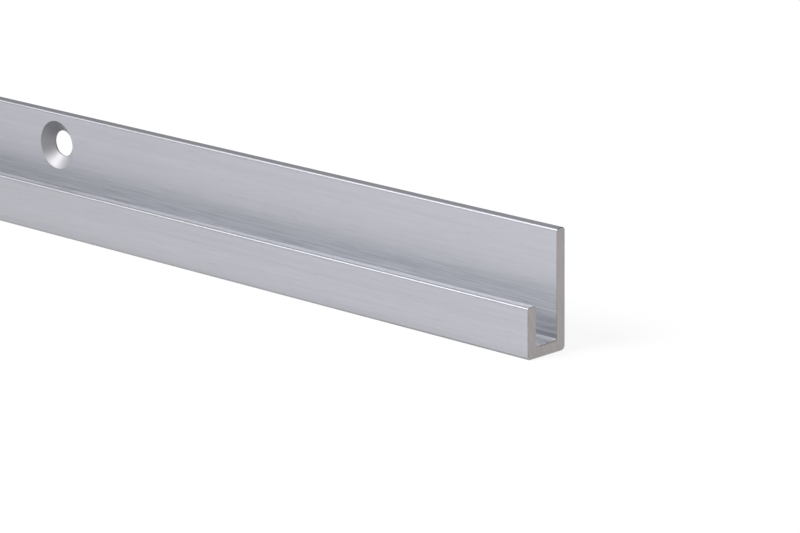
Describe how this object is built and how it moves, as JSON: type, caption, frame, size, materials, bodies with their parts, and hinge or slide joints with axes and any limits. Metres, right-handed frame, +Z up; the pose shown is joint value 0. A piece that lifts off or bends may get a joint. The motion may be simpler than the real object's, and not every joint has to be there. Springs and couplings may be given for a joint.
{
  "type": "aluminium extrusion profile",
  "caption": "J-section aluminium rail with a tall back leg drilled for countersunk screws and a low front lip that makes a channel for the edge of a panel.",
  "frame": {"origin": "on the bottom face, in the middle of the length and of the width", "axes": "+X along the length, -Y towards the front where the lip is, +Z up"},
  "size_m": [1, 0.009, 0.021],
  "materials": {
    "satin_aluminium": "satin anodised, finely brushed along the length, with plain saw-cut ends"
  },
  "bodies": {
    "root": {"j_profile": "satin_aluminium"}
  },
  "joints": []
}
